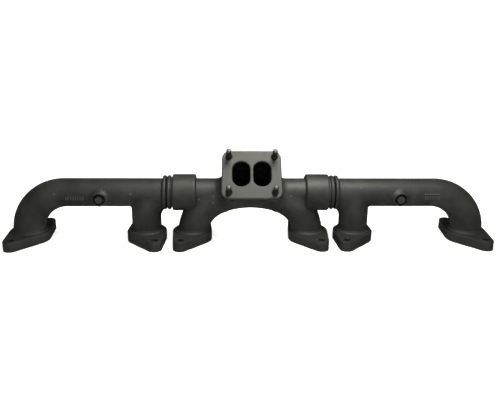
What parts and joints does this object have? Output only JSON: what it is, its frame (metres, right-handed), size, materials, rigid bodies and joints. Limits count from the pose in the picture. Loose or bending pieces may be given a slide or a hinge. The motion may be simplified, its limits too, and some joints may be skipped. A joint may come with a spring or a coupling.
{
  "type": "exhaust manifold",
  "caption": "Sectional cast exhaust manifold: a log pipe with port runners and bolt flanges, ring-sealed slip joints and a divided turbocharger flange with studs.",
  "frame": {"origin": "middle of the footprint on the plane of the port faces", "axes": "+X along the log towards the rear end section, -Y towards the turbo flange, +Z away from the cylinder head"},
  "size_m": [0.9774, 0.1728, 0.2022],
  "materials": {
    "cast_iron": "satin dark olive-grey coating over fine sand-cast texture, machined turbo face",
    "stud_steel": "dark phosphated threaded steel",
    "plug_steel": "coated steel plug",
    "ring_steel": "ground spring steel"
  },
  "bodies": {
    "centre": {"centre_section": "cast_iron", "turbo_stud_1": "stud_steel", "turbo_stud_2": "stud_steel", "turbo_stud_3": "stud_steel", "turbo_stud_4": "stud_steel"},
    "front_ring_pack": {"front_seal_ring_1": "ring_steel", "front_seal_ring_2": "ring_steel", "front_seal_ring_3": "ring_steel", "front_expander_ring_1": "ring_steel", "front_expander_ring_2": "ring_steel", "front_expander_ring_3": "ring_steel"},
    "front_end": {"front_end_section": "cast_iron", "front_port_plug": "plug_steel"},
    "rear_ring_pack": {"rear_seal_ring_1": "ring_steel", "rear_seal_ring_2": "ring_steel", "rear_seal_ring_3": "ring_steel", "rear_expander_ring_1": "ring_steel", "rear_expander_ring_2": "ring_steel", "rear_expander_ring_3": "ring_steel"},
    "rear_end": {"rear_end_section": "cast_iron", "rear_port_plug": "plug_steel"}
  },
  "joints": [
    {"name": "front_slip", "type": "slide", "parent": "centre", "child": "front_ring_pack", "axis": [-1, 0, 0], "range_m": [-0.002, 0.008]},
    {"name": "front_swivel", "type": "hinge", "parent": "front_ring_pack", "child": "front_end", "pos_m": [-0.136, 0.01192, 0.1005], "axis": [-1, 0, 0], "continuous": true},
    {"name": "rear_slip", "type": "slide", "parent": "centre", "child": "rear_ring_pack", "axis": [1, 0, 0], "range_m": [-0.002, 0.008]},
    {"name": "rear_swivel", "type": "hinge", "parent": "rear_ring_pack", "child": "rear_end", "pos_m": [0.136, 0.01192, 0.1005], "axis": [1, 0, 0], "continuous": true}
  ]
}
